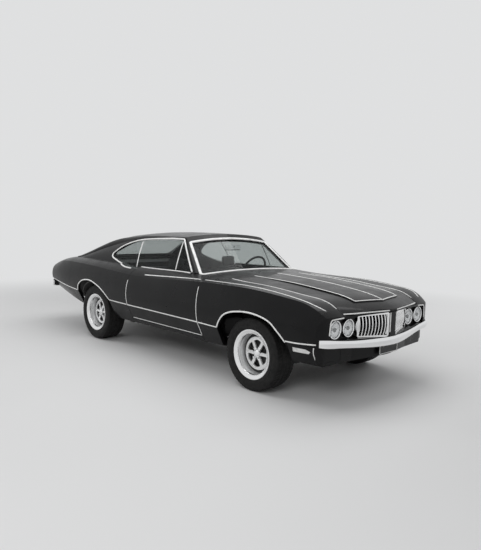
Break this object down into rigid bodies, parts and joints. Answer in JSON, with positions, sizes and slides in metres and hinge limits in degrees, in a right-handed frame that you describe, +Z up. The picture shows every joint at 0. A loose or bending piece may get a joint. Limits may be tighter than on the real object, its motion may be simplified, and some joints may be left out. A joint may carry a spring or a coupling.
{
  "type": "two-door fastback car",
  "caption": "Full-size two-door fastback coupe with long hood, quad round head lamps, split barred grille, chrome bumpers, opening doors, hood and trunk lid, and steered, rolling wheels.",
  "frame": {"origin": "on the ground, under the middle of the car's length and width", "axes": "+X forwards, +Y to the car's left, +Z up"},
  "size_m": [5.1693, 1.9316, 1.4051],
  "materials": {
    "body_paint": "gloss black enamel over steel",
    "window_glass": "clear laminated or tempered sheet",
    "bright_chrome": "polished chrome plate",
    "lamp_glass": "clear sealed beam glass",
    "marker_lens": "clear lens",
    "tail_lens": "red lens",
    "frame_black": "satin chassis black",
    "engine_iron": "painted cast iron",
    "raw_steel": "bare and galvanised steel",
    "wheel_silver": "silver and polished",
    "tyre_rubber": "plain black rubber",
    "cabin_plastic": "black grained plastic",
    "seat_vinyl": "black vinyl",
    "mirror_back": "bright metal case"
  },
  "bodies": {
    "chassis": {"body_shell": "body_paint", "front_fender_left": "body_paint", "front_fender_right": "body_paint", "nose_panel": "body_paint", "front_valance": "body_paint", "windshield": "window_glass", "back_glass": "window_glass", "quarter_glass": "window_glass", "front_bumper": "bright_chrome", "rear_bumper": "bright_chrome", "grille": "bright_chrome", "head_lamps": "lamp_glass", "side_markers": "marker_lens", "tail_lamps": "tail_lens", "front_plate": "raw_steel", "exhaust": "raw_steel", "fuel_tank": "raw_steel", "chassis_frame": "frame_black", "floor_pan": "frame_black", "trunk_floor": "frame_black", "wheelhouses": "frame_black", "rear_axle": "frame_black", "radiator": "frame_black", "engine": "engine_iron", "gearbox": "engine_iron", "dashboard": "cabin_plastic", "steering_wheel": "cabin_plastic", "front_seats": "seat_vinyl", "rear_seat": "seat_vinyl", "inner_mirror": "mirror_back"},
    "door_left": {"door_left": "body_paint", "door_glass_left": "window_glass"},
    "door_right": {"door_right": "body_paint", "door_glass_right": "window_glass"},
    "hood": {"hood": "body_paint"},
    "trunk_lid": {"trunk_lid": "body_paint"},
    "knuckle_left": {"knuckle_left": "frame_black"},
    "knuckle_right": {"knuckle_right": "frame_black"},
    "wheel_front_left": {"wheel_front_left": "wheel_silver", "tyre_front_left": "tyre_rubber"},
    "wheel_front_right": {"wheel_front_right": "wheel_silver", "tyre_front_right": "tyre_rubber"},
    "wheel_rear_left": {"wheel_rear_left": "wheel_silver", "tyre_rear_left": "tyre_rubber"},
    "wheel_rear_right": {"wheel_rear_right": "wheel_silver", "tyre_rear_right": "tyre_rubber"}
  },
  "joints": [
    {"name": "door_left_hinge", "type": "hinge", "parent": "chassis", "child": "door_left", "pos_m": [0.897, 0.968, 0.65], "axis": [0, 0, -1], "range_deg": [0, 65]},
    {"name": "door_right_hinge", "type": "hinge", "parent": "chassis", "child": "door_right", "pos_m": [0.897, -0.968, 0.65], "axis": [0, 0, 1], "range_deg": [0, 65]},
    {"name": "hood_hinge", "type": "hinge", "parent": "chassis", "child": "hood", "pos_m": [0.787, 0, 1.016], "axis": [0, -1, 0], "range_deg": [0, 52]},
    {"name": "trunk_hinge", "type": "hinge", "parent": "chassis", "child": "trunk_lid", "pos_m": [-1.787, 0, 1.036], "axis": [0, 1, 0], "range_deg": [0, 65]},
    {"name": "steer_left", "type": "hinge", "parent": "chassis", "child": "knuckle_left", "pos_m": [1.63, 0.7, 0.343], "axis": [0, 0, 1], "range_deg": [-33, 33]},
    {"name": "steer_right", "type": "hinge", "parent": "chassis", "child": "knuckle_right", "pos_m": [1.63, -0.7, 0.343], "axis": [0, 0, 1], "range_deg": [-33, 33]},
    {"name": "wheel_front_left_spin", "type": "hinge", "parent": "knuckle_left", "child": "wheel_front_left", "pos_m": [1.63, 0.787, 0.343], "axis": [0, 1, 0], "continuous": true},
    {"name": "wheel_front_right_spin", "type": "hinge", "parent": "knuckle_right", "child": "wheel_front_right", "pos_m": [1.63, -0.787, 0.343], "axis": [0, 1, 0], "continuous": true},
    {"name": "wheel_rear_left_spin", "type": "hinge", "parent": "chassis", "child": "wheel_rear_left", "pos_m": [-1.215, 0.787, 0.343], "axis": [0, 1, 0], "continuous": true},
    {"name": "wheel_rear_right_spin", "type": "hinge", "parent": "chassis", "child": "wheel_rear_right", "pos_m": [-1.215, -0.787, 0.343], "axis": [0, 1, 0], "continuous": true}
  ],
  "couplings": [
    {"joint": "steer_right", "follows": "steer_left", "ratio": 1}
  ]
}
